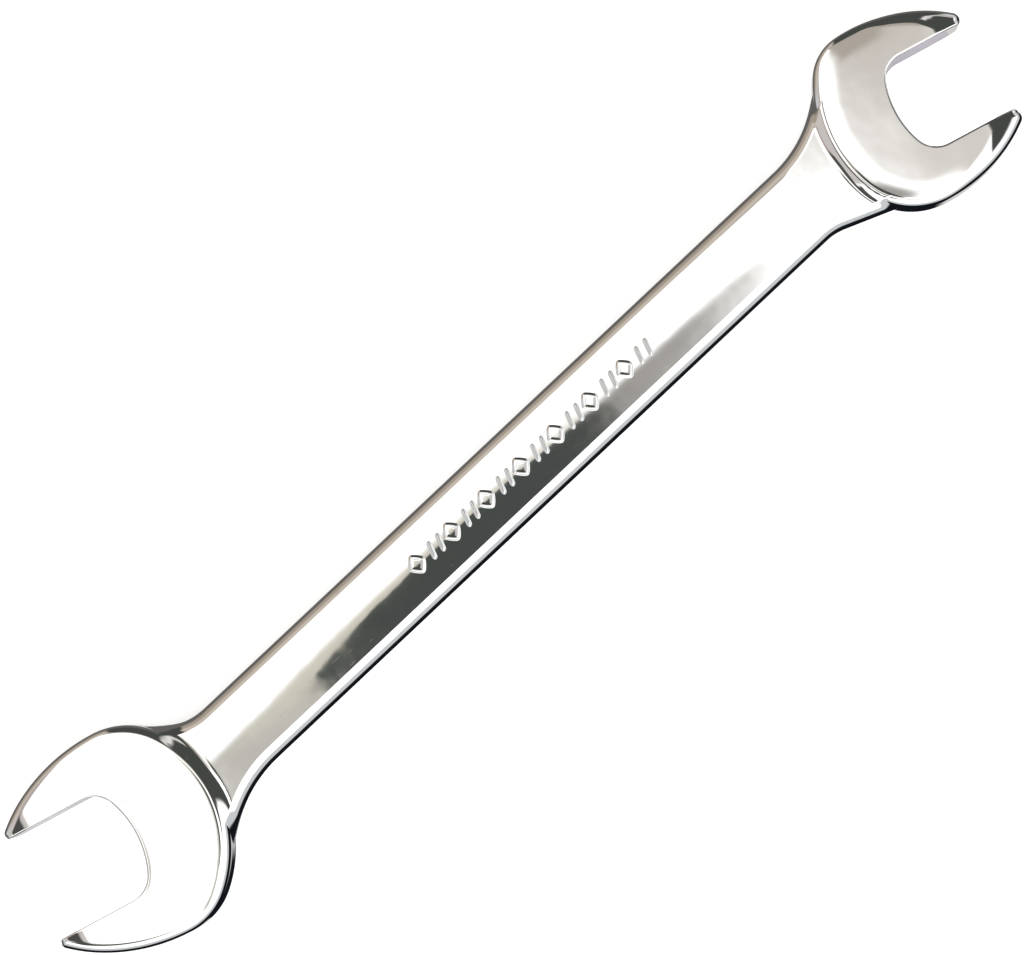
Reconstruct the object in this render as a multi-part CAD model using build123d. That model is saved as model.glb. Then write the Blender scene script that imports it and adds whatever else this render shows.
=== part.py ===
"""Double open-ended wrench with a 19 mm and a 17 mm jaw, drop-forged in one piece and chrome-plated.

The forging is written as its four regions, which meet face to face: the shank, the two jaw heads, and the
small raised marks along the shank's top. All sizes are in millimetres.

Two frames are used. The design frame has the shank's centre line on X, pointing to the small head, Y across
the shank, and Z = 0 at the middle of the thickness. The finished part stands on Z = 0, with the origin under
the middle of its bounding box.

Each head has its own flat frame too: u runs out of the jaw along the opening, v runs across it, and (0, 0) is
the head's centre.
"""
import os
from dataclasses import dataclass
from math import atan2, cos, hypot, radians, sin, sqrt, tan

from build123d import *

# Driving dimensions of the whole tool
CENTRE_DISTANCE = 176.0  # from one head's centre to the other's, along X
JAW_OFFSET_ANGLE = 15.0  # between the opening and the shank, the same way round at both ends
JAW_CLEARANCE = 0.1  # each opening is wider than its nominal size by this
SHANK_WIDTH = 14.7
SHANK_THICKNESS = 5.6
SHANK_SIDE_RADIUS = 2.4  # rounding of the shank's long edges
HEAD_EDGE_RADIUS = 0.4  # rounding of the heads' edges

# Raised marks: a row of lozenges with two slanted bars after each
MARK_UNITS = 7
MARK_UNIT_PITCH = 8.0
MARK_ROW_CENTRE = (3.4, 0.1)
MARK_HEIGHT = 3.6  # across the shank
MARK_RELIEF = 0.3  # above the shank's top
MARK_STROKE = 0.7
LOZENGE_WIDTH = 3.2
BAR_SLANT = 18.0  # degrees from square across the shank
BAR_POSITIONS = (3.4, 5.4)  # after the lozenge's centre


@dataclass
class Head:
    """One jaw head. Lengths are in the head's own u, v frame."""

    jaw: float  # nominal opening, across the hexagon's flats
    thickness: float
    centre_y: float  # from the shank's centre line
    half_width: float  # from the head's centre to the widest point of a cheek
    cheek_radius: float  # outer edge of each jaw arm
    cheek_centres: tuple  # u of the centres of the +v and the -v cheek's arcs
    shoulder_radii: tuple  # where the +v and the -v cheek turn back to the neck
    shoulder_starts: tuple  # how far behind the widest point each shoulder starts
    back_radius: float  # back of the head, where it meets the neck
    throat_radius: float  # bottom of the opening
    throat_depth: float  # u of the bottom of the opening
    throat_corner: float  # radius between the bottom and a jaw flat
    tip_radius: float


@dataclass
class Flare:
    """Concave widening of the shank at one corner of a neck: an arc off the edge, then a straight run."""

    start_x: float  # where the arc leaves the shank's straight edge
    radius: float
    turn: float  # degrees
    run: float  # length of the straight run, which ends inside the head


LARGE_HEAD = Head(
    jaw=19.0,
    thickness=7.6,
    centre_y=-1.0,
    half_width=18.65,
    cheek_radius=31.8,
    cheek_centres=(0.2, 0.5),
    shoulder_radii=(11.4, 13.0),
    shoulder_starts=(0.0, 0.6),
    back_radius=22.0,
    throat_radius=16.9,
    throat_depth=0.9,
    throat_corner=4.8,
    tip_radius=0.9,
)
SMALL_HEAD = Head(
    jaw=17.0,
    thickness=7.0,
    centre_y=-0.2,
    half_width=16.75,
    cheek_radius=27.6,
    cheek_centres=(-0.6, 0.5),
    shoulder_radii=(8.5, 12.8),
    shoulder_starts=(2.6, 0.0),
    back_radius=24.0,
    throat_radius=16.4,
    throat_depth=-0.4,
    throat_corner=4.4,
    tip_radius=1.3,
)
LARGE_FLARE_TOP = Flare(start_x=-67.2, radius=9.4, turn=42.0, run=6.0)
LARGE_FLARE_BOTTOM = Flare(start_x=-63.0, radius=22.9, turn=33.0, run=6.0)
SMALL_FLARE_TOP = Flare(start_x=66.0, radius=21.2, turn=35.0, run=6.0)
SMALL_FLARE_BOTTOM = Flare(start_x=64.9, radius=9.0, turn=22.0, run=9.5)


def arc_about(centre, radius, start, end):
    """The arc of a known circle from start to end, the short way round."""
    middle_x = start[0] + end[0] - 2 * centre[0]
    middle_y = start[1] + end[1] - 2 * centre[1]
    scale = radius / hypot(middle_x, middle_y)
    return ThreePointArc(start, (centre[0] + middle_x * scale, centre[1] + middle_y * scale), end)


def away(centre, other, distance):
    """The point at a distance from centre, on the far side of centre from other."""
    scale = distance / hypot(centre[0] - other[0], centre[1] - other[1])
    return (centre[0] + (centre[0] - other[0]) * scale, centre[1] + (centre[1] - other[1]) * scale)


def crossing(a, radius_a, b, radius_b):
    """The crossing of two circles that lies on the left as seen from a towards b."""
    gap = hypot(b[0] - a[0], b[1] - a[1])
    along = (gap**2 + radius_a**2 - radius_b**2) / (2 * gap)
    aside = sqrt(radius_a**2 - along**2)
    ex, ey = (b[0] - a[0]) / gap, (b[1] - a[1]) / gap
    return (a[0] + along * ex - aside * ey, a[1] + along * ey + aside * ex)


def head_plan(head):
    """The head's outline in its u, v frame: tangent arcs round the outside, and the opening cut into it."""
    half_gap = (head.jaw + JAW_CLEARANCE) / 2
    shoulders, joints, corners = [], [], []
    cheeks = [
        (head.cheek_centres[0], head.half_width - head.cheek_radius),
        (head.cheek_centres[1], head.cheek_radius - head.half_width),
    ]
    for side, cheek, radius, start in zip((1, -1), cheeks, head.shoulder_radii, head.shoulder_starts):
        angle = atan2(start, sqrt(head.cheek_radius**2 - start**2))
        reach = head.cheek_radius - radius
        shoulder = (cheek[0] - reach * sin(angle), cheek[1] + side * reach * cos(angle))
        shoulders.append(shoulder)
        joints.append(away(shoulder, cheek, radius))
        tip_u = cheek[0] + sqrt(head.cheek_radius**2 - (half_gap - side * cheek[1]) ** 2)
        corners.append((tip_u, side * half_gap))
    back = crossing(
        shoulders[0],
        head.back_radius - head.shoulder_radii[0],
        shoulders[1],
        head.back_radius - head.shoulder_radii[1],
    )
    ends = [away(s, back, r) for s, r in zip(shoulders, head.shoulder_radii)]
    # The throat: one wide arc between two corner arcs, each tangent to its jaw flat
    throat = (head.throat_depth + head.throat_radius, 0.0)
    corner_v = half_gap - head.throat_corner
    corner_u = throat[0] - sqrt((head.throat_radius - head.throat_corner) ** 2 - corner_v**2)
    fillets = [(corner_u, side * corner_v) for side in (1, -1)]
    meets = [away(f, throat, head.throat_corner) for f in fillets]
    edges = []
    for i, side in enumerate((1, -1)):
        edges.append(arc_about(cheeks[i], head.cheek_radius, corners[i], joints[i]))
        edges.append(arc_about(shoulders[i], head.shoulder_radii[i], joints[i], ends[i]))
        edges.append(Line(corners[i], (corner_u, side * half_gap)))
        edges.append(arc_about(fillets[i], head.throat_corner, (corner_u, side * half_gap), meets[i]))
    edges.append(arc_about(back, head.back_radius, ends[0], ends[1]))
    edges.append(arc_about(throat, head.throat_radius, meets[0], meets[1]))
    plan = make_face(edges)
    tips = plan.vertices().sort_by(Axis.X)[-2:]
    return fillet(tips, head.tip_radius)


def head_solid(head, centre_x, turned):
    """The head as a plate with slightly rounded edges, placed in the design frame."""
    plate = extrude(head_plan(head), head.thickness / 2, both=True)
    rims = plate.faces().filter_by(Plane.XY).edges()
    plate = fillet(rims, HEAD_EDGE_RADIUS)
    return Pos(centre_x, head.centre_y, 0) * Rot(0, 0, turned) * plate


def flare_edges(flare, side, direction):
    """A flare's arc and run, off the edge at Y = side * half width, towards X = direction * infinity."""
    turn = radians(flare.turn)
    edge_y = side * SHANK_WIDTH / 2
    centre = (flare.start_x, edge_y + side * flare.radius)
    start = (flare.start_x, edge_y)
    end = (centre[0] + direction * flare.radius * sin(turn), centre[1] - side * flare.radius * cos(turn))
    far = (end[0] + direction * flare.run * cos(turn), end[1] + side * flare.run * sin(turn))
    return [arc_about(centre, flare.radius, start, end), Line(end, far)], start, far


def shank_blank():
    """The shank with its flares, rounded along both long edges, and running on into both heads."""
    edges, starts, fars = [], {}, {}
    corners = {
        (1, -1): LARGE_FLARE_TOP,
        (-1, -1): LARGE_FLARE_BOTTOM,
        (1, 1): SMALL_FLARE_TOP,
        (-1, 1): SMALL_FLARE_BOTTOM,
    }
    for (side, direction), flare in corners.items():
        made, start, far = flare_edges(flare, side, direction)
        edges += made
        starts[side, direction] = start
        fars[side, direction] = far
    for side in (1, -1):
        edges.append(Line(starts[side, -1], starts[side, 1]))
    for direction in (-1, 1):
        edges.append(Line(fars[1, direction], fars[-1, direction]))
    blank = extrude(make_face(edges), SHANK_THICKNESS / 2, both=True)
    ends = [Line(fars[1, d], fars[-1, d]).center() for d in (-1, 1)]
    rims = []
    for edge in blank.faces().filter_by(Plane.XY).edges():
        middle = edge.center()
        if all(hypot(middle.X - e.X, middle.Y - e.Y) > 0.01 for e in ends):
            rims.append(edge)
    return fillet(rims, SHANK_SIDE_RADIUS)


def mark_solids():
    """The raised marks: for each unit a hollow lozenge and two slanted bars, standing on the shank's top."""
    solids = []
    half = LOZENGE_WIDTH / 2
    lozenge = Polygon((half, 0), (0, MARK_HEIGHT / 2), (-half, 0), (0, -MARK_HEIGHT / 2))
    inner = 1 - MARK_STROKE / (MARK_HEIGHT * half / hypot(MARK_HEIGHT / 2, half))
    lean = MARK_HEIGHT / 2 * tan(radians(BAR_SLANT))
    wide = MARK_STROKE / 2 / cos(radians(BAR_SLANT))
    top, low = MARK_HEIGHT / 2, -MARK_HEIGHT / 2
    bar = Polygon((lean + wide, top), (lean - wide, top), (-lean - wide, low), (-lean + wide, low))
    first_x = MARK_ROW_CENTRE[0] - (MARK_UNITS - 1) * MARK_UNIT_PITCH / 2 - BAR_POSITIONS[1] / 2
    for unit in range(MARK_UNITS):
        x = first_x + unit * MARK_UNIT_PITCH
        ground = Pos(x, MARK_ROW_CENTRE[1], SHANK_THICKNESS / 2)
        solids.append(ground * extrude(lozenge - scale(lozenge, inner), MARK_RELIEF))
        for step in BAR_POSITIONS:
            solids.append(ground * Pos(step, 0, 0) * extrude(bar, MARK_RELIEF))
    return solids


large_head = head_solid(LARGE_HEAD, -CENTRE_DISTANCE / 2, 180 - JAW_OFFSET_ANGLE)
small_head = head_solid(SMALL_HEAD, CENTRE_DISTANCE / 2, -JAW_OFFSET_ANGLE)
shank = shank_blank() - large_head - small_head

nodes = {
    "shank": shank,
    "large_head": large_head,
    "small_head": small_head,
    "raised_marks": Compound(mark_solids()),
}

os.makedirs("parts", exist_ok=True)
box = Compound([large_head, small_head]).bounding_box()
stand = Pos(-(box.min.X + box.max.X) / 2, -(box.min.Y + box.max.Y) / 2, -box.min.Z)
for name, shape in nodes.items():
    export_step(stand * shape, f"parts/{name}.step")
print("overall length", round(box.size.X, 2), "width", round(box.size.Y, 2), "thickness", round(box.size.Z, 2))
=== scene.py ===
# %% [markdown]
# # A chrome-plated double open-ended wrench
# The tool is one drop forging: a slim bar with an open jaw at each end, polished and then plated with chrome.
# A mirror has almost no colour of its own, so two things make it look right: smooth, truly curved surfaces,
# and a studio worth reflecting. This lesson builds the surfaces first and the studio after them.
# The CAD model is the frame: it says where each region lies and how large it is.

import bmesh
import bpy
import numpy as np
from mathutils import Matrix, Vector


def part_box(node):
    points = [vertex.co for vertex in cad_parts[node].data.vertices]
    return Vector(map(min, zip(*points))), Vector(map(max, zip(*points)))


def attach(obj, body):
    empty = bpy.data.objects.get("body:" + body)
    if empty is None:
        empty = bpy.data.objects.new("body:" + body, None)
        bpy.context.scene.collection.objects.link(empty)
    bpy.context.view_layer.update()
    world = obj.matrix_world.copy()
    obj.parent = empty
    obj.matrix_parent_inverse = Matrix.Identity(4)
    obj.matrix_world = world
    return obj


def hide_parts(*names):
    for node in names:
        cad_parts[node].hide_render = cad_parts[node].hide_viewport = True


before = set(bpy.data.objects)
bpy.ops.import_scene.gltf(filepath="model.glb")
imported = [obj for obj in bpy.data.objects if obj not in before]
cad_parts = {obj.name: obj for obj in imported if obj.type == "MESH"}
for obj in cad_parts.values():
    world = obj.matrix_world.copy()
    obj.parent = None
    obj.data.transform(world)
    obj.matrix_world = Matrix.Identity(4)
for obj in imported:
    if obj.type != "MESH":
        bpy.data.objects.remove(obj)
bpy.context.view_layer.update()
MM = 0.001  # lengths below are in millimetres, and this turns them into metres
print("nodes:", sorted(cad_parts))

# %% [markdown]
# ## Outlines from arcs
# A forging die is drawn with tangent arcs, so the outlines here are too. Each head is described in its own
# flat frame: u runs out of the jaw along the opening, v runs across it, and (0, 0) is the head's centre. The
# arcs could be typed in as points, but a radius is what a toolmaker would give, and can be changed by itself.

# %% The two heads
# Pairs hold the value for the +v arm and then for the -v arm. Each centre or start is measured along u, and
# turned is the angle from +X to u, anticlockwise, in degrees.
HEADS = {
    "large_head": dict(
        jaw=19.1,
        half_width=18.65,
        cheek_radius=31.8,
        cheek_centres=(0.2, 0.5),
        shoulder_radii=(11.4, 13.0),
        shoulder_starts=(0.0, 0.6),
        back_radius=22.0,
        throat_radius=16.9,
        throat_depth=0.9,
        throat_corner=4.8,
        tip_radius=0.9,
        turned=165.0,
    ),
    "small_head": dict(
        jaw=17.1,
        half_width=16.75,
        cheek_radius=27.6,
        cheek_centres=(-0.6, 0.5),
        shoulder_radii=(8.5, 12.8),
        shoulder_starts=(2.6, 0.0),
        back_radius=24.0,
        throat_radius=16.4,
        throat_depth=-0.4,
        throat_corner=4.4,
        tip_radius=1.3,
        turned=-15.0,
    ),
}
print("openings across the flats:", [HEADS[name]["jaw"] for name in HEADS])


# %% Points along tangent arcs
ARC_POINTS = 160


def arc(centre, start, end):
    """Points on a circle from start to end, the short way round: the angle runs evenly between the two."""
    a0 = np.arctan2(start[1] - centre[1], start[0] - centre[0])
    a1 = np.arctan2(end[1] - centre[1], end[0] - centre[0])
    turn = (a1 - a0 + np.pi) % (2 * np.pi) - np.pi
    a = a0 + turn * np.linspace(0, 1, ARC_POINTS)
    radius = np.hypot(start[0] - centre[0], start[1] - centre[1])
    return np.stack([centre[0] + radius * np.cos(a), centre[1] + radius * np.sin(a)], axis=1)


def away(centre, other, gap):
    """The point that lies a gap beyond centre, straight away from another point."""
    step = np.subtract(centre, other)
    return np.asarray(centre) + step * (gap / np.hypot(*step))


# %% One arm of a head
NOSE_ANGLE = np.radians(30)  # where the two outlines part on the tip's arc, from u towards the opening


def shoulders_and_back(head):
    """The centres of both cheek arcs, of both shoulder arcs inside them, and of the back arc.

    A shoulder touches its cheek from inside, so the two centres are their radii's difference apart. The back
    touches both shoulders in the same way, so its centre is where two circles round theirs cross.
    """
    cheeks, shoulders = [], []
    for k, s in enumerate((1, -1)):
        centre = np.array([head["cheek_centres"][k], s * (head["half_width"] - head["cheek_radius"])])
        start, radius = head["shoulder_starts"][k], head["shoulder_radii"][k]
        reach = head["cheek_radius"] - radius
        tilt = np.arctan2(start, np.sqrt(head["cheek_radius"] ** 2 - start**2))
        cheeks.append(centre)
        shoulders.append(centre + reach * np.array([-np.sin(tilt), s * np.cos(tilt)]))
    ra, rb = (head["back_radius"] - r for r in head["shoulder_radii"])
    gap = np.hypot(*(shoulders[1] - shoulders[0]))
    ex = (shoulders[1] - shoulders[0]) / gap
    along = (gap**2 + ra**2 - rb**2) / (2 * gap)
    back = shoulders[0] + along * ex + np.sqrt(ra**2 - along**2) * np.array([-ex[1], ex[0]])
    return cheeks, shoulders, back


def half_outlines(head, side):
    """One jaw arm's outer and inner outline, both from the middle of its tip to the head's middle line.

    Outside they follow the tip's arc, the cheek, the shoulder and the back, and inside the tip's arc, the
    straight jaw flat, a corner arc and the wide arc at the bottom of the throat.
    """
    half_gap = head["jaw"] / 2
    index = 0 if side > 0 else 1
    cheeks, shoulders, back = shoulders_and_back(head)
    cheek, shoulder, tip_r = cheeks[index], shoulders[index], head["tip_radius"]
    tip_v = half_gap + tip_r
    tip_u = cheek[0] + np.sqrt((head["cheek_radius"] - tip_r) ** 2 - (tip_v - side * cheek[1]) ** 2)
    tip = np.array([tip_u, side * tip_v])
    flat_end, cheek_end = np.array([tip_u, side * half_gap]), away(tip, cheek, tip_r)
    nose = tip + tip_r * np.array([np.cos(NOSE_ANGLE), -side * np.sin(NOSE_ANGLE)])
    joint = away(shoulder, cheek, head["shoulder_radii"][index])
    turn_in = away(shoulder, back, head["shoulder_radii"][index])
    spine = np.array([back[0] - np.sqrt(head["back_radius"] ** 2 - back[1] ** 2), 0.0])
    outer = [arc(tip, nose, cheek_end), arc(cheek, cheek_end, joint), arc(shoulder, joint, turn_in)]
    outer.append(arc(back, turn_in, spine))
    throat = np.array([head["throat_depth"] + head["throat_radius"], 0.0])
    corner_r = head["throat_corner"]
    corner_v = half_gap - corner_r
    corner_u = throat[0] - np.sqrt((head["throat_radius"] - corner_r) ** 2 - corner_v**2)
    corner = np.array([corner_u, side * corner_v])
    flat_start = np.array([corner_u, side * half_gap])
    bottom = np.array([head["throat_depth"], 0.0])
    inner = [arc(tip, nose, flat_end), np.linspace(flat_end, flat_start, ARC_POINTS)]
    inner += [arc(corner, flat_start, away(corner, throat, corner_r))]
    inner += [arc(throat, away(corner, throat, corner_r), bottom)]
    return np.concatenate(outer), np.concatenate(inner)


# %% Where each head lies
def evenly(points, fractions):
    """Points of a line at the given fractions of its length, found from its running length."""
    steps = np.hypot(*np.diff(points, axis=0).T)
    run = np.concatenate([[0], np.cumsum(steps)])
    return np.stack([np.interp(fractions * run[-1], run, points[:, k]) for k in (0, 1)], axis=1)


def placed(points, name):
    """Turns a head's own points into the frame's: a rotation, then a move that the CAD node's box gives."""
    turned = np.radians(HEADS[name]["turned"])
    rotate = np.array([[np.cos(turned), np.sin(turned)], [-np.sin(turned), np.cos(turned)]])
    whole = np.concatenate([half_outlines(HEADS[name], side)[0] for side in (1, -1)]) @ rotate
    low, high = (np.array(corner[:2]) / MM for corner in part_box(name))
    return points @ rotate + (low + high) / 2 - (whole.min(0) + whole.max(0)) / 2


LARGE_OFF_AXIS = -1.0  # where the large head's centre lies along Y, from the shank's axis

for name in HEADS:
    centre = placed(np.zeros((1, 2)), name)[0]
    HEADS[name]["centre"] = centre
    low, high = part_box(name)
    HEADS[name]["thick"] = (high.z - low.z) / MM
    print(name, "centre", centre.round(2), "thickness", round(HEADS[name]["thick"], 2))
axis_y = HEADS["large_head"]["centre"][1] - LARGE_OFF_AXIS
mid_z = sum(corner.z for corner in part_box("shank")) / 2 / MM
print("shank axis at y", round(axis_y, 2), "mid-plane at z", round(mid_z, 2))

# %% [markdown]
# ## From arrays to a mesh
# Every piece is a grid: rows along the piece, and in each row a closed loop of points round its section. Such
# a grid could be made with Blender's own loft or skin tools, but as an array it takes four lines, and each
# point's height can then be any formula of where the point lies.

# %% A closed grid mesh
MERGE = 0.0002  # points nearer than this are one point


def wrapped_quads(index, closed):
    """Faces between neighbouring rows: vertex k joins vertex k + 1 of its row and the same two of the next.

    A closed grid's last row joins its first.
    """
    a = index if closed else index[:-1]
    b = np.roll(index, -1, 0) if closed else index[1:]
    return np.stack([a, np.roll(a, -1, 1), np.roll(b, -1, 1), b], axis=-1).reshape(-1, 4).tolist()


def solid(name, points, faces):
    """A smooth closed mesh: points that fall together are merged, and its faces are turned outwards."""
    mesh = bpy.data.meshes.new(name)
    mesh.from_pydata((points * MM).tolist(), [], faces)
    work = bmesh.new()
    work.from_mesh(mesh)
    bmesh.ops.remove_doubles(work, verts=work.verts, dist=MERGE * MM)
    bmesh.ops.recalc_face_normals(work, faces=work.faces)
    work.to_mesh(mesh)
    work.free()
    mesh.polygons.foreach_set("use_smooth", np.ones(len(mesh.polygons), bool))
    piece = bpy.data.objects.new(name, mesh)
    bpy.context.scene.collection.objects.link(piece)
    print(name, "has", len(mesh.vertices), "vertices and", len(mesh.polygons), "faces")
    return piece


def loop_mesh(name, grid, capped):
    """Rows of closed section loops become one closed mesh, and the two end loops may be capped."""
    index = np.arange(grid.shape[0] * grid.shape[1]).reshape(grid.shape[:2])
    faces = wrapped_quads(index, closed=False)
    if capped:
        faces += [index[0][::-1].tolist(), index[-1].tolist()]
    return solid(name, grid.reshape(-1, 3), faces)


# %% Distances and a smooth step
CHUNK = 200  # samples of a line compared at a time, to spare memory


def distance(points, line):
    """The distance from each point to a line, across the line's tangent at its nearest sample.

    Where the nearest sample is one of the line's ends, it is the plain distance to that end.
    """
    flat = points.reshape(-1, 2)
    best = np.full(len(flat), np.inf)
    nearest = np.zeros(len(flat), int)
    for start in range(0, len(line), CHUNK):
        part = line[start : start + CHUNK]
        gaps = np.hypot(flat[:, None, 0] - part[None, :, 0], flat[:, None, 1] - part[None, :, 1])
        closest = gaps.argmin(1)
        gap = gaps[np.arange(len(flat)), closest]
        nearest = np.where(gap < best, closest + start, nearest)
        best = np.minimum(best, gap)
    tangent = np.gradient(line, axis=0)
    tangent /= np.maximum(np.hypot(*tangent.T), 1e-12)[:, None]
    step, along = flat - line[nearest], tangent[nearest]
    across = np.abs(step[:, 0] * along[:, 1] - step[:, 1] * along[:, 0])
    at_end = (nearest == 0) | (nearest == len(line) - 1)
    return np.where(at_end, best, np.minimum(across, best)).reshape(points.shape[:-1])


def ease(x):
    """A smooth step from 0 to 1: 3x squared less 2x cubed, held flat outside."""
    x = np.clip(x, 0, 1)
    return x * x * (3 - 2 * x)


# %% [markdown]
# ## The heads
# A forged head is trimmed flat and then polished on a soft wheel, which rounds its outer edge widely, keeps
# the edges of the jaw flats crisp, and thins the tips a little. So the height at a point depends on its
# distance from the outer outline and from the opening. That is a formula on a grid. Bevels on a plain plate
# would give one radius everywhere, and the reflections would end in the wrong places.

# %% What polishing took off each face
FACES = {
    "large_head": dict(
        edge=1.7,  # radius of the rounded outer edge
        fillet=1.6,  # how far outside the head its fillet to the shank starts
        tip_length=5.5,  # length of each thinned tip
        tip_drop=0.65,
        roll=0.12,  # roll-off beside the cheeks
        roll_width=2.0,
        back_roll=0.0,  # roll-off round the back
        dish=0.05,  # hollow ring round the throat
    ),
    "small_head": dict(
        edge=1.3,
        fillet=1.0,
        tip_length=8.5,
        tip_drop=0.90,
        roll=0.55,
        roll_width=3.6,
        back_roll=0.25,
        dish=0.0,
    ),
}
LIP = 0.3  # radius of the crisp edge along the opening
ROLL_ONSET = 6.0  # the cheeks' roll-off sets in, and the back's dies away, over this much of u
ROLL_WIDENING = 12.0  # the cheeks' roll-off reaches its full width at this u
BACK_ROLL_WIDTH = 4.6
DISH_PLACE, DISH_WIDTH = 1.0, 1.1  # of the hollow ring, from the opening's edge
DISH_START, DISH_FADE = 2.0, 5.0  # u where the ring starts to fade towards the tips, and over how much


# %% The face's height above the mid-plane
def quarter(d, radius):
    """How far a quarter-round edge has dropped at distance d inside it: R less the circle's height."""
    inside = np.clip(1 - d / radius, 0, 1)
    return radius * (1 - np.sqrt(1 - inside**2))


def face_height(uv, name, outer, inner):
    """Half the thickness, less six drops.

    The drops are the rounded edges outside and inside, a roll-off beside the outer edge that widens towards
    the tips and one round the back, the thinned tips, and a faint hollow ring round the throat.
    """
    form, u = FACES[name], uv[..., 0]
    d_out, d_in = distance(uv, outer), distance(uv, inner)
    drop = quarter(d_out, form["edge"]) + quarter(d_in, LIP)
    width = form["edge"] + (form["roll_width"] - form["edge"]) * np.clip(u / ROLL_WIDENING, 0, 1)
    drop += form["roll"] * ease(u / ROLL_ONSET) * np.clip(1 - d_out / width, 0, 1) ** 2
    drop += form["back_roll"] * ease(1 - u / ROLL_ONSET) * np.clip(1 - d_out / BACK_ROLL_WIDTH, 0, 1) ** 2
    reach = outer[:, 0].max() - form["tip_length"]
    drop += form["tip_drop"] * np.clip((u - reach) / form["tip_length"], 0, 1) ** 2
    near_throat = ease(1 - (u - DISH_START) / DISH_FADE)
    drop += form["dish"] * near_throat * np.exp(-(((d_in - DISH_PLACE) / DISH_WIDTH) ** 2))
    return HEADS[name]["thick"] / 2 - drop


# %% Carry the section from tip to tip
ROWS, ACROSS, WALL = 150, 44, 5  # rows on each arm, points across a face, and points down each wall
TIP_CROWDING = 1.15  # the rows lie closer together towards the tips, the more so the larger this is
INNER_STOPS, OUTER_STOPS = [0, 0.52, 0.72, 1], [0, 0.41, 0.68, 1]  # shares of the two outlines that face
EASED = 0.85  # how much of the spacing across a face follows a smooth step, closer at both edges


def head_piece(name):
    """A grid whose rows join the inner outline to the outer one, from one tip round the back to the other."""
    halves = [half_outlines(HEADS[name], side) for side in (1, -1)]
    outer = np.concatenate([halves[0][0], halves[1][0][::-1]])
    inner = np.concatenate([halves[0][1], halves[1][1][::-1]])
    spread = 1 - np.cos(np.linspace(0, np.pi / TIP_CROWDING, ROWS))
    along = spread / spread[-1]
    ins = [evenly(half_inner, along) for _, half_inner in halves]
    outs = [evenly(half_outer, np.interp(along, INNER_STOPS, OUTER_STOPS)) for half_outer, _ in halves]
    ins = np.concatenate([ins[0], ins[1][-2::-1]])
    outs = np.concatenate([outs[0], outs[1][-2::-1]])
    share = np.linspace(0, 1, ACROSS)
    w = (EASED * ease(share) + (1 - EASED) * share)[None, :, None]
    uv = ins[:, None] * (1 - w) + outs[:, None] * w
    height = face_height(uv, name, outer, inner)
    wall = np.linspace(1, -1, WALL + 2)[1:-1]
    loop = [uv, np.repeat(uv[:, -1:], WALL, 1), uv[:, ::-1], np.repeat(uv[:, :1], WALL, 1)]
    plan = np.concatenate(loop, axis=1)
    z = [height, height[:, -1:] * wall, -height[:, ::-1], height[:, :1] * -wall]
    z = np.concatenate(z, axis=1)
    xy = placed(plan.reshape(-1, 2), name).reshape(plan.shape)
    piece = loop_mesh(name + "_forging", np.concatenate([xy, z[..., None] + mid_z], axis=-1), capped=False)
    HEADS[name]["outer"] = placed(outer, name)
    return piece


head_pieces = {name: head_piece(name) for name in HEADS}

# %% [markdown]
# ## The shank
# The bar is wide and low. Its faces are slightly crowned, and a rounded band runs along each side, with a
# soft crease where band and face meet. Near each head the edges flare out, and the face climbs over the
# head's rounded edge in a small fillet. A bar and two heads could be joined by a boolean and bevelled, but
# here the grid's long lines run from rim to rim, so each fillet follows its head's curved back by itself.

# %% Widths along the shank
# A flare's key is its edge, upper (1) or lower (-1), and its end, at the large head (-1) or the small (1).
SHANK_HALF = 7.35
FLARES = {
    (1, -1): dict(start=-67.2, radius=9.4, turn=42.0),
    (-1, -1): dict(start=-63.0, radius=22.9, turn=33.0),
    (1, 1): dict(start=66.0, radius=21.2, turn=35.0),
    (-1, 1): dict(start=64.9, radius=9.0, turn=22.0),
}
axis_x = (HEADS["large_head"]["centre"][0] + HEADS["small_head"]["centre"][0]) / 2
shank_top = (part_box("shank")[1].z / MM) - mid_z


def flare(x, side, end):
    """How far an edge stands outside the straight bar: an arc, then the straight line tangent to it."""
    form = FLARES[side, end]
    out = (x - form["start"]) * end
    turn = np.radians(form["turn"])
    bend = form["radius"] * np.sin(turn)
    curved = form["radius"] - np.sqrt(form["radius"] ** 2 - np.clip(out, 0, bend) ** 2)
    return curved + np.clip(out - bend, 0, None) * np.tan(turn)


def edge_y(x, side):
    """The y of the shank's upper (+1) or lower (-1) edge at each x, measured from the axis."""
    return side * (SHANK_HALF + flare(x, side, -1) + flare(x, side, 1))


# %% The section across the shank
BAND = 2.15  # width of each side band, seen from above
CREASE = np.radians(25)  # how far round its quarter ellipse each side band ends, at the crease
BAND_STEPS, FACE_STEPS = 12, 36
CROWN_RADIUS = 60.0  # of the face's crown, across the shank
CROWN_LIMIT = 0.35  # the crown drops no further than this


def section():
    """The upper half of the section, from the +y edge to the -y edge, in three fractions for each point.

    They are its place across the face, how far out in the side band it lies, and its height. The band is part
    of a quarter ellipse.
    """
    angle = np.linspace(np.pi / 2, CREASE, BAND_STEPS)
    down = (1 - np.sin(angle)) / (1 - np.sin(CREASE))
    up = np.cos(angle) / np.cos(CREASE)
    across = np.cos(np.linspace(0, np.pi, FACE_STEPS))
    face = np.ones(FACE_STEPS)
    side = np.concatenate([np.ones(BAND_STEPS), across[1:-1], -np.ones(BAND_STEPS)])
    inset = np.concatenate([down, face[1:-1], down[::-1]])
    rise = np.concatenate([up, face[1:-1], up[::-1]])
    return side, inset, rise


def shank_face(y):
    """Height of the shank's face above the mid-plane: the top, less a crown that levels off in the flares.

    The crown is the limit times 1 less a bell curve, which in the middle curves by the crown's radius.
    """
    return shank_top - CROWN_LIMIT * (1 - np.exp(-(y**2) / (2 * CROWN_RADIUS * CROWN_LIMIT)))


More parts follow.
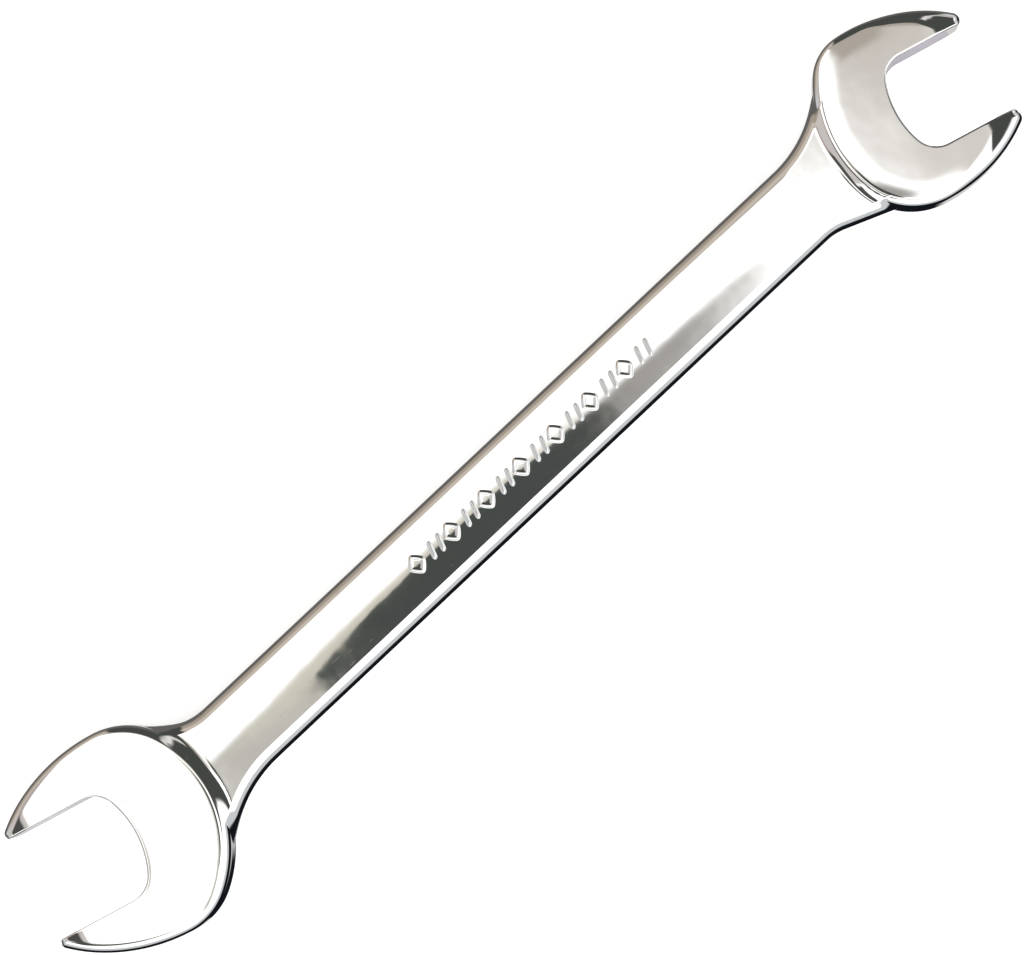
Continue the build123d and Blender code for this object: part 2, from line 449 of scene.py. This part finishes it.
# %% The fillets at the heads
UNDER_GAP, UNDER_SLOPE = 0.02, 0.15  # how far below the head's face the shank's face dives, and how steeply


def signed_distance(points, name):
    """Distance outside a head's outer outline, and negative inside it.

    Inside means nearer to the head's centre than the outline is on the same heading. Only the outline's back
    and sides are asked, where each heading meets it once. The large head's back faces +X and the small one's
    faces -X, so headings are counted from there.
    """
    outline, centre = HEADS[name]["outer"], HEADS[name]["centre"]
    gap = distance(points, outline)
    heading = np.arctan2(*(points - centre).reshape(-1, 2).T[::-1])
    rays = np.arctan2(*(outline - centre).T[::-1])
    if name == "large_head":
        keep = np.abs(rays) < 2.2
    else:
        keep = np.abs(rays) > 0.9
        rays, heading = rays % (2 * np.pi), heading % (2 * np.pi)
    order = np.argsort(rays[keep])
    reach = np.hypot(*(outline - centre).T)[keep][order]
    limit = np.interp(heading, rays[keep][order], reach)
    here = np.hypot(*(points - centre).reshape(-1, 2).T)
    return np.where((here < limit).reshape(gap.shape), -gap, gap)


def climb(z, outside, name):
    """Carries the shank's face up over a head's rounded edge in a cubic.

    It leaves the face level and ends halfway round the head's edge, with the height and slope of that edge: a
    quarter circle falls by 0.5 / sqrt(0.75) there. Further in, the shank's face dives below the head's.
    """
    edge, reach = FACES[name]["edge"], FACES[name]["fillet"]
    start = edge / 2
    z0 = HEADS[name]["thick"] / 2 - quarter(start, edge)
    slope = -0.5 / np.sqrt(0.75)
    t = np.clip((outside + start) / (start + reach), 0, 1)
    cubic = z0 * (2 * t**3 - 3 * t**2 + 1) + slope * (start + reach) * (t**3 - 2 * t**2 + t)
    blended = cubic + z * (3 * t**2 - 2 * t**3)
    inside = np.clip(-outside - start, 0, None)
    under = HEADS[name]["thick"] / 2 - quarter(-outside, edge) - UNDER_GAP - UNDER_SLOPE * inside
    return np.where(outside < -start, under, blended)


# %% The shank between the two rims
LONG = 420  # points along the shank
EVENNESS = 0.25  # how much of their spacing is even, and the rest is closer towards both ends
SPANS = {"large_head": (-58.0, -86.0), "small_head": (60.0, 88.0)}  # where each end is looked for
SPAN_STEPS = 560
RIM, EDGE_OUT = 1.6, 0.1  # how far the face runs in over a head's outline, and its edges stop short outside
TUCK, TUCK_HEIGHT = 1.5, 0.8  # the last row is hidden this much further in, at this share of the height


def shank_y(x, side, inset):
    """The y of every section point at each x: its share of the face's half width, then the band outside."""
    top, low = edge_y(x - axis_x, 1), edge_y(x - axis_x, -1)
    mid, half = (top + low) / 2, (top - low) / 2
    return mid + side * (half - BAND * inset)


def shank_end(name, side, inset):
    """The x where each long line ends, found by walking out along it until it is far enough in the head."""
    depth = RIM * (1 - np.abs(np.linspace(-1, 1, len(side))) ** 8) - EDGE_OUT
    x = (axis_x + np.linspace(*SPANS[name], SPAN_STEPS))[:, None] * np.ones(len(side))
    outside = signed_distance(np.stack([x, shank_y(x, side, inset) + axis_y], axis=-1), name)
    reached = outside < -depth
    crossed = np.where(reached.any(0), np.argmax(reached, axis=0), np.argmin(outside, axis=0))
    return x[crossed, np.arange(len(side))]


def tucked(row, name):
    """A copy of an end row, moved towards the head's centre and lowered, so that the end is hidden."""
    inward = HEADS[name]["centre"] - row[:, :2]
    step = TUCK * inward / np.hypot(*inward.T)[:, None]
    return np.concatenate([row[:, :2] + step, row[:, 2:] * TUCK_HEIGHT], axis=1)[None]


def shank_piece():
    """Long lines between the rims, each with the same place in the section, closed into a solid bar."""
    side, inset, rise = section()
    start, end = (shank_end(name, side, inset) for name in HEADS)
    even = np.linspace(0, 1, LONG)[:, None]
    share = (1 - EVENNESS) * ease(even) + EVENNESS * even
    x = start * (1 - share) + end * share
    y = shank_y(x, side, inset)
    points = np.stack([x, y + axis_y], axis=-1)
    z = shank_face(y)
    for name in HEADS:
        z = climb(z, signed_distance(points, name), name)
    top = np.concatenate([points, (z * rise)[..., None]], axis=-1)
    top = np.concatenate([tucked(top[0], "large_head"), top, tucked(top[-1], "small_head")])
    under = top[:, ::-1] * (1, 1, -1)
    return loop_mesh("shank_forging", np.concatenate([top, under], axis=1) + (0, 0, mid_z), capped=True)


shank = shank_piece()

# %% [markdown]
# ## The raised marks
# Marks on a forging are cut into the die, so they stand up from the metal with soft, rounded shoulders. A
# bevelled curve could make them, but it would not follow the crown of the face. So each one is a ridge: a
# raised cosine carried along a short line, or round a lozenge, with its foot just under the face.

# %% One ridge along a line
RELIEF = 0.3
SUNK = 0.05  # how far a ridge's foot is under the face
FOOT_REACH = 0.62  # from a ridge's middle line to its foot, where its soft shoulder ends
RIDGE_POINTS = 15  # across a ridge


def ridge(line, closed):
    """A soft ridge carried along a line; an open line's ends close to a point.

    Across the line the height is a raised cosine, half of 1 + cos(pi x / reach) times the relief.
    """
    count = len(line)
    if closed:
        ahead = np.roll(line, -1, 0) - np.roll(line, 1, 0)
        full = np.ones(count)
    else:
        ahead = np.gradient(line, axis=0)
        full = np.sqrt(np.clip(1 - np.abs(np.linspace(-1, 1, count)) ** 6, 0, 1))
    normal = np.stack([-ahead[:, 1], ahead[:, 0]], axis=1) / np.hypot(*ahead.T)[:, None]
    offset = np.linspace(-1, 1, RIDGE_POINTS)
    lift = (RELIEF + SUNK) * (1 + np.cos(np.pi * offset)) / 2
    xy = line[:, None] + normal[:, None] * (offset * FOOT_REACH * full[:, None])[..., None]
    ground = shank_face(xy[..., 1] - axis_y)
    z = ground + mid_z - SUNK + lift * full[:, None]
    return np.concatenate([xy, z[..., None]], axis=-1)


# %% The row of marks
MARK_UNITS, UNIT_PITCH = 7, 8.0
MARK_HEIGHT, LOZENGE_WIDTH, STROKE = 3.6, 3.2, 0.7
LOZENGE_POINTS, BAR_POINTS = 48, 25
SHARPNESS = 1.7  # of a lozenge's corners: 1 is an oval and 2 a diamond
BAR_POSITIONS = (3.4, 5.4)  # after the lozenge's centre
BAR_SLANT = np.radians(18)
BAR_END = 0.15  # how far inside the row's height a bar's middle line ends


def mark_lines():
    """The row's lines: for each unit a lozenge, then two slanted bars.

    A lozenge is a superellipse: the cosine and the sine of the angle, each raised to a power with its sign.
    """
    low, high = (np.array(corner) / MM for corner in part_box("raised_marks"))
    centre_y = (low[1] + high[1]) / 2
    lines = []
    a = np.linspace(0, 2 * np.pi, LOZENGE_POINTS, endpoint=False)
    diamond = np.stack([np.cos(a), np.sin(a)], axis=1)
    diamond = np.sign(diamond) * np.abs(diamond) ** SHARPNESS
    size = np.array([LOZENGE_WIDTH - STROKE, MARK_HEIGHT - STROKE]) / 2
    half = MARK_HEIGHT / 2 - BAR_END
    bar = np.linspace(-half, half, BAR_POINTS)[:, None] * np.array([np.tan(BAR_SLANT), 1.0])
    for unit in range(MARK_UNITS):
        x = low[0] + LOZENGE_WIDTH / 2 + unit * UNIT_PITCH
        lines.append((diamond * size + (x, centre_y), True))
        lines += [(bar + (x + step, centre_y), False) for step in BAR_POSITIONS]
    return lines


def marks_piece():
    """All ridges in one mesh: each is a strip of faces, closed underneath inside the shank's metal."""
    points, faces, base = [], [], 0
    for line, closed in mark_lines():
        grid = ridge(line, closed)
        index = base + np.arange(grid.shape[0] * grid.shape[1]).reshape(grid.shape[:2])
        faces += wrapped_quads(index, closed)
        points.append(grid.reshape(-1, 3))
        base += index.size
    return solid("raised_row", np.concatenate(points), faces)


marks = marks_piece()

# %% [markdown]
# ## Mirror chrome
# Decorative chrome is a layer under a micrometre thick over bright nickel, on steel that was polished first.
# A flat near-white metal would already mirror the room. What makes it real is small: wiped smudges that cloud
# the reflection, hairline scratches, and metal that is never perfectly flat. Each is noise at its real size.

# %% Colours and nodes
def hex_colour(code):
    """An sRGB hex code as linear light: each channel goes through the sRGB curve backwards."""
    channel = np.array([int(code[i : i + 2], 16) for i in (1, 3, 5)]) / 255
    linear = np.where(channel <= 0.04045, channel / 12.92, ((channel + 0.055) / 1.055) ** 2.4)
    return (*linear.tolist(), 1.0)


def add(tree, kind, links=None, values=None, **settings):
    """Adds a node, sets its properties, then its input values, and links its other inputs."""
    node = tree.nodes.new(kind)
    for key, value in settings.items():
        setattr(node, key, value)
    for key, value in (values or {}).items():
        node.inputs[key].default_value = value
    for key, source in (links or {}).items():
        tree.links.new(source, node.inputs[key])
    return node


def calculate(tree, operation, a, b):
    """One math node; each side is an output to link or a plain number."""
    node = add(tree, "ShaderNodeMath", operation=operation)
    for socket, side in zip(node.inputs, (a, b)):
        if isinstance(side, (int, float)):
            socket.default_value = side
        else:
            tree.links.new(side, socket)
    return node.outputs[0]


# %% The plate
SMUDGE_WIDTH = 14 * MM  # the stroke of a wiping thumb
WAVE_WIDTH, WAVE_HEIGHT = 9 * MM, 0.03 * MM  # left by the polishing wheel
HAIR_WIDTH, HAIR_DEPTH = 0.12 * MM, 0.02 * MM  # real ones are a tenth as wide, and would not show
HAIR_STRETCH = 30  # length of a hairline over its width
HAIR_ANGLES = (22, -38)


def hairlines(tree, place, angle):
    """A mask of fine scratches one way: noise drawn out to many times its width, and only its peaks kept."""
    long, wide = 1 / (HAIR_STRETCH * HAIR_WIDTH), 1 / HAIR_WIDTH
    turned = add(
        tree,
        "ShaderNodeMapping",
        {"Vector": place},
        {"Rotation": (0, 0, np.radians(angle)), "Scale": (long, wide, long)},
        vector_type="POINT",
    )
    streaks = add(
        tree,
        "ShaderNodeTexNoise",
        {"Vector": turned.outputs["Vector"]},
        {"Scale": 1.0, "Detail": 1.0},
    )
    mask = add(
        tree,
        "ShaderNodeMapRange",
        {"Value": streaks.outputs["Fac"]},
        {"From Min": 0.76, "From Max": 0.82},
    )
    return mask.outputs["Result"]


def chrome_material():
    """Bright chrome plate: smudges cloud it, hairlines dull it, and waves and hairlines bend it a little."""
    material = bpy.data.materials.new("bright_chrome_plate")
    material.use_nodes = True
    tree = material.node_tree
    tree.nodes.clear()
    place = add(tree, "ShaderNodeTexCoord").outputs["Object"]
    smudge = add(
        tree,
        "ShaderNodeTexNoise",
        {"Vector": place},
        {"Scale": 1 / SMUDGE_WIDTH, "Detail": 5.0, "Roughness": 0.62, "Distortion": 0.6},
    ).outputs["Fac"]
    rough = add(
        tree,
        "ShaderNodeMapRange",
        {"Value": smudge},
        {"From Min": 0.35, "From Max": 0.75, "To Min": 0.025, "To Max": 0.07},
    ).outputs["Result"]
    tint = add(tree, "ShaderNodeMix", {"Factor": smudge}, data_type="RGBA")
    tint.inputs["A"].default_value = hex_colour("#F1F1F0")
    tint.inputs["B"].default_value = hex_colour("#E6E5E2")
    scratches = calculate(tree, "MAXIMUM", *(hairlines(tree, place, angle) for angle in HAIR_ANGLES))
    worn = add(tree, "ShaderNodeMix", {"Factor": scratches, "A": tint.outputs["Result"]}, data_type="RGBA")
    worn.inputs["B"].default_value = hex_colour("#A9A7A6")
    waves = add(
        tree,
        "ShaderNodeTexNoise",
        {"Vector": place},
        {"Scale": 1 / WAVE_WIDTH, "Detail": 2.0, "Roughness": 0.4},
    ).outputs["Fac"]
    bent = add(tree, "ShaderNodeBump", {"Height": waves}, {"Strength": 1.0, "Distance": WAVE_HEIGHT})
    cut = add(
        tree,
        "ShaderNodeBump",
        {"Height": scratches, "Normal": bent.outputs["Normal"]},
        {"Strength": 0.05, "Distance": HAIR_DEPTH},
    )
    shader = add(
        tree,
        "ShaderNodeBsdfPrincipled",
        {"Base Color": worn.outputs["Result"], "Roughness": rough, "Normal": cut.outputs["Normal"]},
        {"Metallic": 1.0},
    )
    add(tree, "ShaderNodeOutputMaterial", {"Surface": shader.outputs["BSDF"]})
    return material


# %% Every piece gets the plate
chrome = chrome_material()
stands_for = {
    "large_head": head_pieces["large_head"],
    "small_head": head_pieces["small_head"],
    "shank": shank,
    "raised_marks": marks,
}
for node, piece in stands_for.items():
    piece.data.materials.append(chrome)
    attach(piece, "root")
    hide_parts(node)
print("pieces:", [piece.name for piece in stands_for.values()])

# %% [markdown]
# ## The studio
# A mirror shows the room, so the room is what a polished tool is lit with. Lamps and real cards would do, but
# then each has to be aimed by trial. The room here is a world shader, laid out as cards on a ceiling: p and q
# are how far a direction leans along X and Y as it climbs by one. White overhead makes the faces bright, a
# small dark patch near the top gives the shank its long dark reflection, and dark surrounds draw the edges.

# %% Cards with soft edges
WHITE = 1.55  # brightness of the ceiling


def card(tree, value, low, high):
    """A soft edge: 0 at low and 1 at high, with a smooth step between. High may be under low."""
    node = add(
        tree,
        "ShaderNodeMapRange",
        {"Value": value},
        {"From Min": low, "From Max": high},
        interpolation_type="SMOOTHSTEP",
    )
    return node.outputs["Result"]


def masked(tree, edges):
    """How much of a card a direction sees: the product of the card's soft edges."""
    mask = card(tree, *edges[0])
    for edge in edges[1:]:
        mask = calculate(tree, "MULTIPLY", mask, card(tree, *edge))
    return mask


def oval(tree, p, q, centre, radii):
    """How far out in an oval a direction is, squared: 0 at its centre and 1 on its rim."""
    sides = []
    for value, middle, radius in zip((p, q), centre, radii):
        side = calculate(tree, "DIVIDE", calculate(tree, "SUBTRACT", value, middle), radius)
        sides.append(calculate(tree, "MULTIPLY", side, side))
    return calculate(tree, "ADD", *sides)


def lay(tree, under, mask, colour, light=1.0):
    """Lays a colour over what is there, as far as the mask says."""
    node = add(tree, "ShaderNodeMix", {"Factor": mask, "A": under}, data_type="RGBA")
    rgb = hex_colour(colour)
    node.inputs["B"].default_value = (*(c * light for c in rgb[:3]), 1.0)
    return node.outputs["Result"]


# %% Where a direction points
def directions(tree):
    """The measures that the cards' edges are drawn on: x, y and z of a direction, and four made from them."""
    way = add(tree, "ShaderNodeSeparateXYZ", {"Vector": add(tree, "ShaderNodeTexCoord").outputs["Generated"]})
    x, y, z = (way.outputs[k] for k in "XYZ")
    climbed = calculate(tree, "MAXIMUM", z, 0.02)
    p, q = (calculate(tree, "DIVIDE", side, climbed) for side in (x, y))
    bearing = calculate(tree, "DIVIDE", x, calculate(tree, "MAXIMUM", y, 0.02))
    slant = calculate(tree, "SUBTRACT", q, calculate(tree, "MULTIPLY", p, 0.3))
    return x, y, z, p, q, bearing, slant


# %% The room, card by card
def room_cards(z, p, q, bearing, slant):
    """Every straight-edged card in the order they are laid: a colour, its light, and its soft edges."""
    wall = [(q, 1.3, 1.7), (bearing, -0.95, -0.65), (bearing, 0.7, 0.5)]
    behind_right = [(bearing, 0.22, 0.30), (bearing, 1.75, 1.55)]
    return [
        # A warm grey card to the right, darker away from the camera, for the small head's face
        ("#E2DDD8", 1.0, [(p, 0.14, 0.21), (q, -0.03, 0.07)]),
        ("#B9B1A8", 1.0, [(p, 0.14, 0.21), (q, 0.09, 0.20)]),
        # A light grey one to the left, for the shank's end by the large head
        ("#CBC7C2", 1.0, [(p, -0.07, -0.11), (p, -0.19, -0.15), (q, 0.13, 0.06)]),
        # Beyond it a soft grey one, and a pinkish one farther from the camera, for the upper large tip
        ("#D5CFCD", 1.0, [(p, -0.245, -0.30), (q, -0.02, 0.06)]),
        ("#BFB2AF", 1.0, [(p, -0.26, -0.32), (q, 0.22, 0.32), (p, -0.7, -0.55)]),
        # Pale at the far right, and then the dark flags at both ends of the room, which the tips reflect
        ("#F3F1EF", 1.0, [(p, 0.42, 0.50), (q, 0.8, 0.6)]),
        ("#4A4D4A", 1.0, [(p, 0.33, 0.37), (p, 0.60, 0.54), (q, 0.50, 0.42)]),
        ("#4A4D4A", 1.0, [(p, 0.33, 0.37), (p, 1.8, 1.5), (q, 0.60, 0.50), (bearing, 1.75, 2.0)]),
        ("#50524F", 1.0, [(p, -0.33, -0.38), (p, -0.75, -0.65), (q, 0.40, 0.32)]),
        ("#50524F", 1.0, [(p, -0.36, -0.41), (p, -1.2, -1.0), (q, 0.02, -0.03)]),
        # White in front, the pale horizon, and a tan wall behind that darkens downwards
        ("#FFFFFF", WHITE, [(q, -0.30, -0.42)]),
        ("#D6DADE", 1.0, [(z, 0.36, 0.22)]),
        ("#D3C8BC", 1.0, wall),
        ("#AFA295", 1.0, wall + [(z, 0.30, 0.12)]),
        # A dark flag behind to the right, for the small head's farther arm
        ("#4A4D4A", 1.0, [(p, 0.26, 0.31), (slant, 0.16, 0.22), *behind_right]),
    ]


def ground_cards(x, y, z):
    """The ground outside the paper: grey behind, nearly black before it, and pale straight below."""
    return [
        ("#6A6866", 1.0, [(z, -0.12, -0.28)]),
        ("#D8D6D5", 1.0, [(z, -0.88, -0.95)]),
        ("#14171D", 1.0, [(z, -0.12, -0.28), (y, -0.055, -0.085)]),
        ("#D8D6D5", 1.0, [(z, -0.88, -0.95), (x, 0.05, 0.12)]),
    ]


# Ovals overhead: a pale halo, a soft shade, and the dark patch, each with where its edge starts and is full
OVERHEAD = [
    ("#DEDACD", (-0.05, 0.065), (0.10, 0.085), (1.3, 0.3)),
    ("#ADAAA7", (0.045, 0.02), (0.075, 0.055), (1.7, 0.1)),
    ("#4C504E", (-0.03, 0.02), (0.075, 0.085), (1.07, 0.93)),
]


# %% The world
def studio_world():
    """White everywhere, then the room's cards, the ovals overhead and the ground.

    Where the camera looks past the wrench and the floor, it sees plain pale paper instead.
    """
    world = bpy.data.worlds.new("studio")
    world.use_nodes = True
    tree = world.node_tree
    tree.nodes.clear()
    x, y, z, p, q, bearing, slant = directions(tree)
    white = add(tree, "ShaderNodeRGB")
    white.outputs[0].default_value = (WHITE, WHITE, WHITE, 1.0)
    sky = white.outputs[0]
    for colour, light, edges in room_cards(z, p, q, bearing, slant):
        sky = lay(tree, sky, masked(tree, edges), colour, light)
    for colour, centre, radii, edge in OVERHEAD:
        sky = lay(tree, sky, card(tree, oval(tree, p, q, centre, radii), *edge), colour)
    for colour, light, edges in ground_cards(x, y, z):
        sky = lay(tree, sky, masked(tree, edges), colour, light)
    pale = add(tree, "ShaderNodeRGB")
    pale.outputs[0].default_value = hex_colour("#FFFEFC")
    seen = add(tree, "ShaderNodeLightPath").outputs["Is Camera Ray"]
    shown = add(tree, "ShaderNodeMix", {"Factor": seen, "A": sky, "B": pale.outputs[0]}, data_type="RGBA")
    light = add(tree, "ShaderNodeBackground", {"Color": shown.outputs["Result"]})
    add(tree, "ShaderNodeOutputWorld", {"Surface": light.outputs["Background"]})
    bpy.context.scene.world = world
    print("the studio has", len(tree.nodes), "nodes")


studio_world()

# %% [markdown]
# ## Floor, bounce cards and camera
# The floor is a plain pale sweep. It carries a little light of its own, as paper over a light table does, so
# the shadow stays faint. Glossy rays pass it by, and the chrome's lower edges then show the dark ground
# instead, which draws the thin dark line round the tool. A small card in each jaw lights the flats.

# %% Floor
FLOOR_RADIUS = 3.0  # in metres, far beyond what the camera takes in
CLEARANCE = 0.02  # the floor is this far under the wrench, and the bounce cards as far above its underside


def paper(name, code):
    """Matt uncoated paper in one colour: it spreads light evenly and has no gloss to speak of."""
    material = bpy.data.materials.new(name)
    material.use_nodes = True
    shader = material.node_tree.nodes["Principled BSDF"]
    shader.inputs["Base Color"].default_value = hex_colour(code)
    shader.inputs["Roughness"].default_value = 0.9
    return material, shader


def floor_piece():
    """A wide flat disc under the wrench, out of Blender's own circle."""
    place = (0, 0, -CLEARANCE * MM)
    bpy.ops.mesh.primitive_circle_add(vertices=96, radius=FLOOR_RADIUS, fill_type="NGON", location=place)
    floor = bpy.context.object
    floor.name = "paper_floor"
    material, shader = paper("matt_white_paper", "#EDEDEB")
    shader.inputs["Emission Color"].default_value = hex_colour("#FFFFFF")
    shader.inputs["Emission Strength"].default_value = 0.6
    floor.data.materials.append(material)
    floor.visible_glossy = False


# %% Bounce cards
CARD_SHORT = 2.0  # each card ends this far inside the tips


def bounce_card(name, code):
    """A small pale card in a jaw's opening, seen only in reflections: it lights the jaw's two flats."""
    head = HEADS[name]
    half = head["jaw"] / 2
    u0, u1 = head["throat_depth"], half_outlines(head, 1)[0][:, 0].max() - CARD_SHORT
    corners = placed(np.array([(u0, -half), (u1, -half), (u1, half), (u0, half)]), name)
    mesh = bpy.data.meshes.new(name + "_bounce_card")
    flat = np.concatenate([corners, np.full((4, 1), CLEARANCE)], axis=1) * MM
    mesh.from_pydata(flat.tolist(), [], [(0, 1, 2, 3)])
    card_object = bpy.data.objects.new(mesh.name, mesh)
    bpy.context.scene.collection.objects.link(card_object)
    mesh.materials.append(paper(name + "_card_paper", code)[0])
    card_object.visible_camera = False
    card_object.visible_shadow = False


floor_piece()
bounce_card("large_head", "#E4E3E6")
bounce_card("small_head", "#D8D2DC")
print("staged: the floor and two bounce cards")

# %% Camera
CAMERA_DISTANCE = 450.0
CAMERA_LEAN = np.radians(6.0)  # from straight above, towards -Y
CAMERA_ROLL = np.radians(43.25)  # the shank's angle in the view, anticlockwise from the view's width
VIEW_WIDTH = 172.7  # across the view, at the height of the large head's face
SENSOR = 36.0
TARGET = (0.6, 0.05)  # x and y that the view is centred on


def camera_piece():
    """Looks at the wrench's top from above, rolled so that the shank rises to the right.

    The lens is the sensor's width times the distance, over the width that has to be seen.
    """
    lean, roll = CAMERA_LEAN, CAMERA_ROLL
    target = np.array([*TARGET, 2 * mid_z])
    back = np.array([0.0, -np.sin(lean), np.cos(lean)])
    across = np.array([1.0, 0.0, 0.0])
    up = np.cross(back, across)
    right = across * np.cos(roll) - up * np.sin(roll)
    above = across * np.sin(roll) + up * np.cos(roll)
    place = (target + back * CAMERA_DISTANCE) * MM
    matrix = Matrix([[right[k], above[k], back[k], place[k]] for k in range(3)] + [[0, 0, 0, 1]])
    data = bpy.data.cameras.new("camera")
    data.sensor_width = SENSOR
    data.lens = SENSOR * CAMERA_DISTANCE / VIEW_WIDTH
    data.clip_start = 0.01
    camera = bpy.data.objects.new("camera", data)
    camera.matrix_world = matrix
    bpy.context.scene.collection.objects.link(camera)
    bpy.context.scene.camera = camera
    print("lens", round(data.lens, 1), "mm")


camera_piece()
bpy.context.scene.view_settings.view_transform = "Standard"
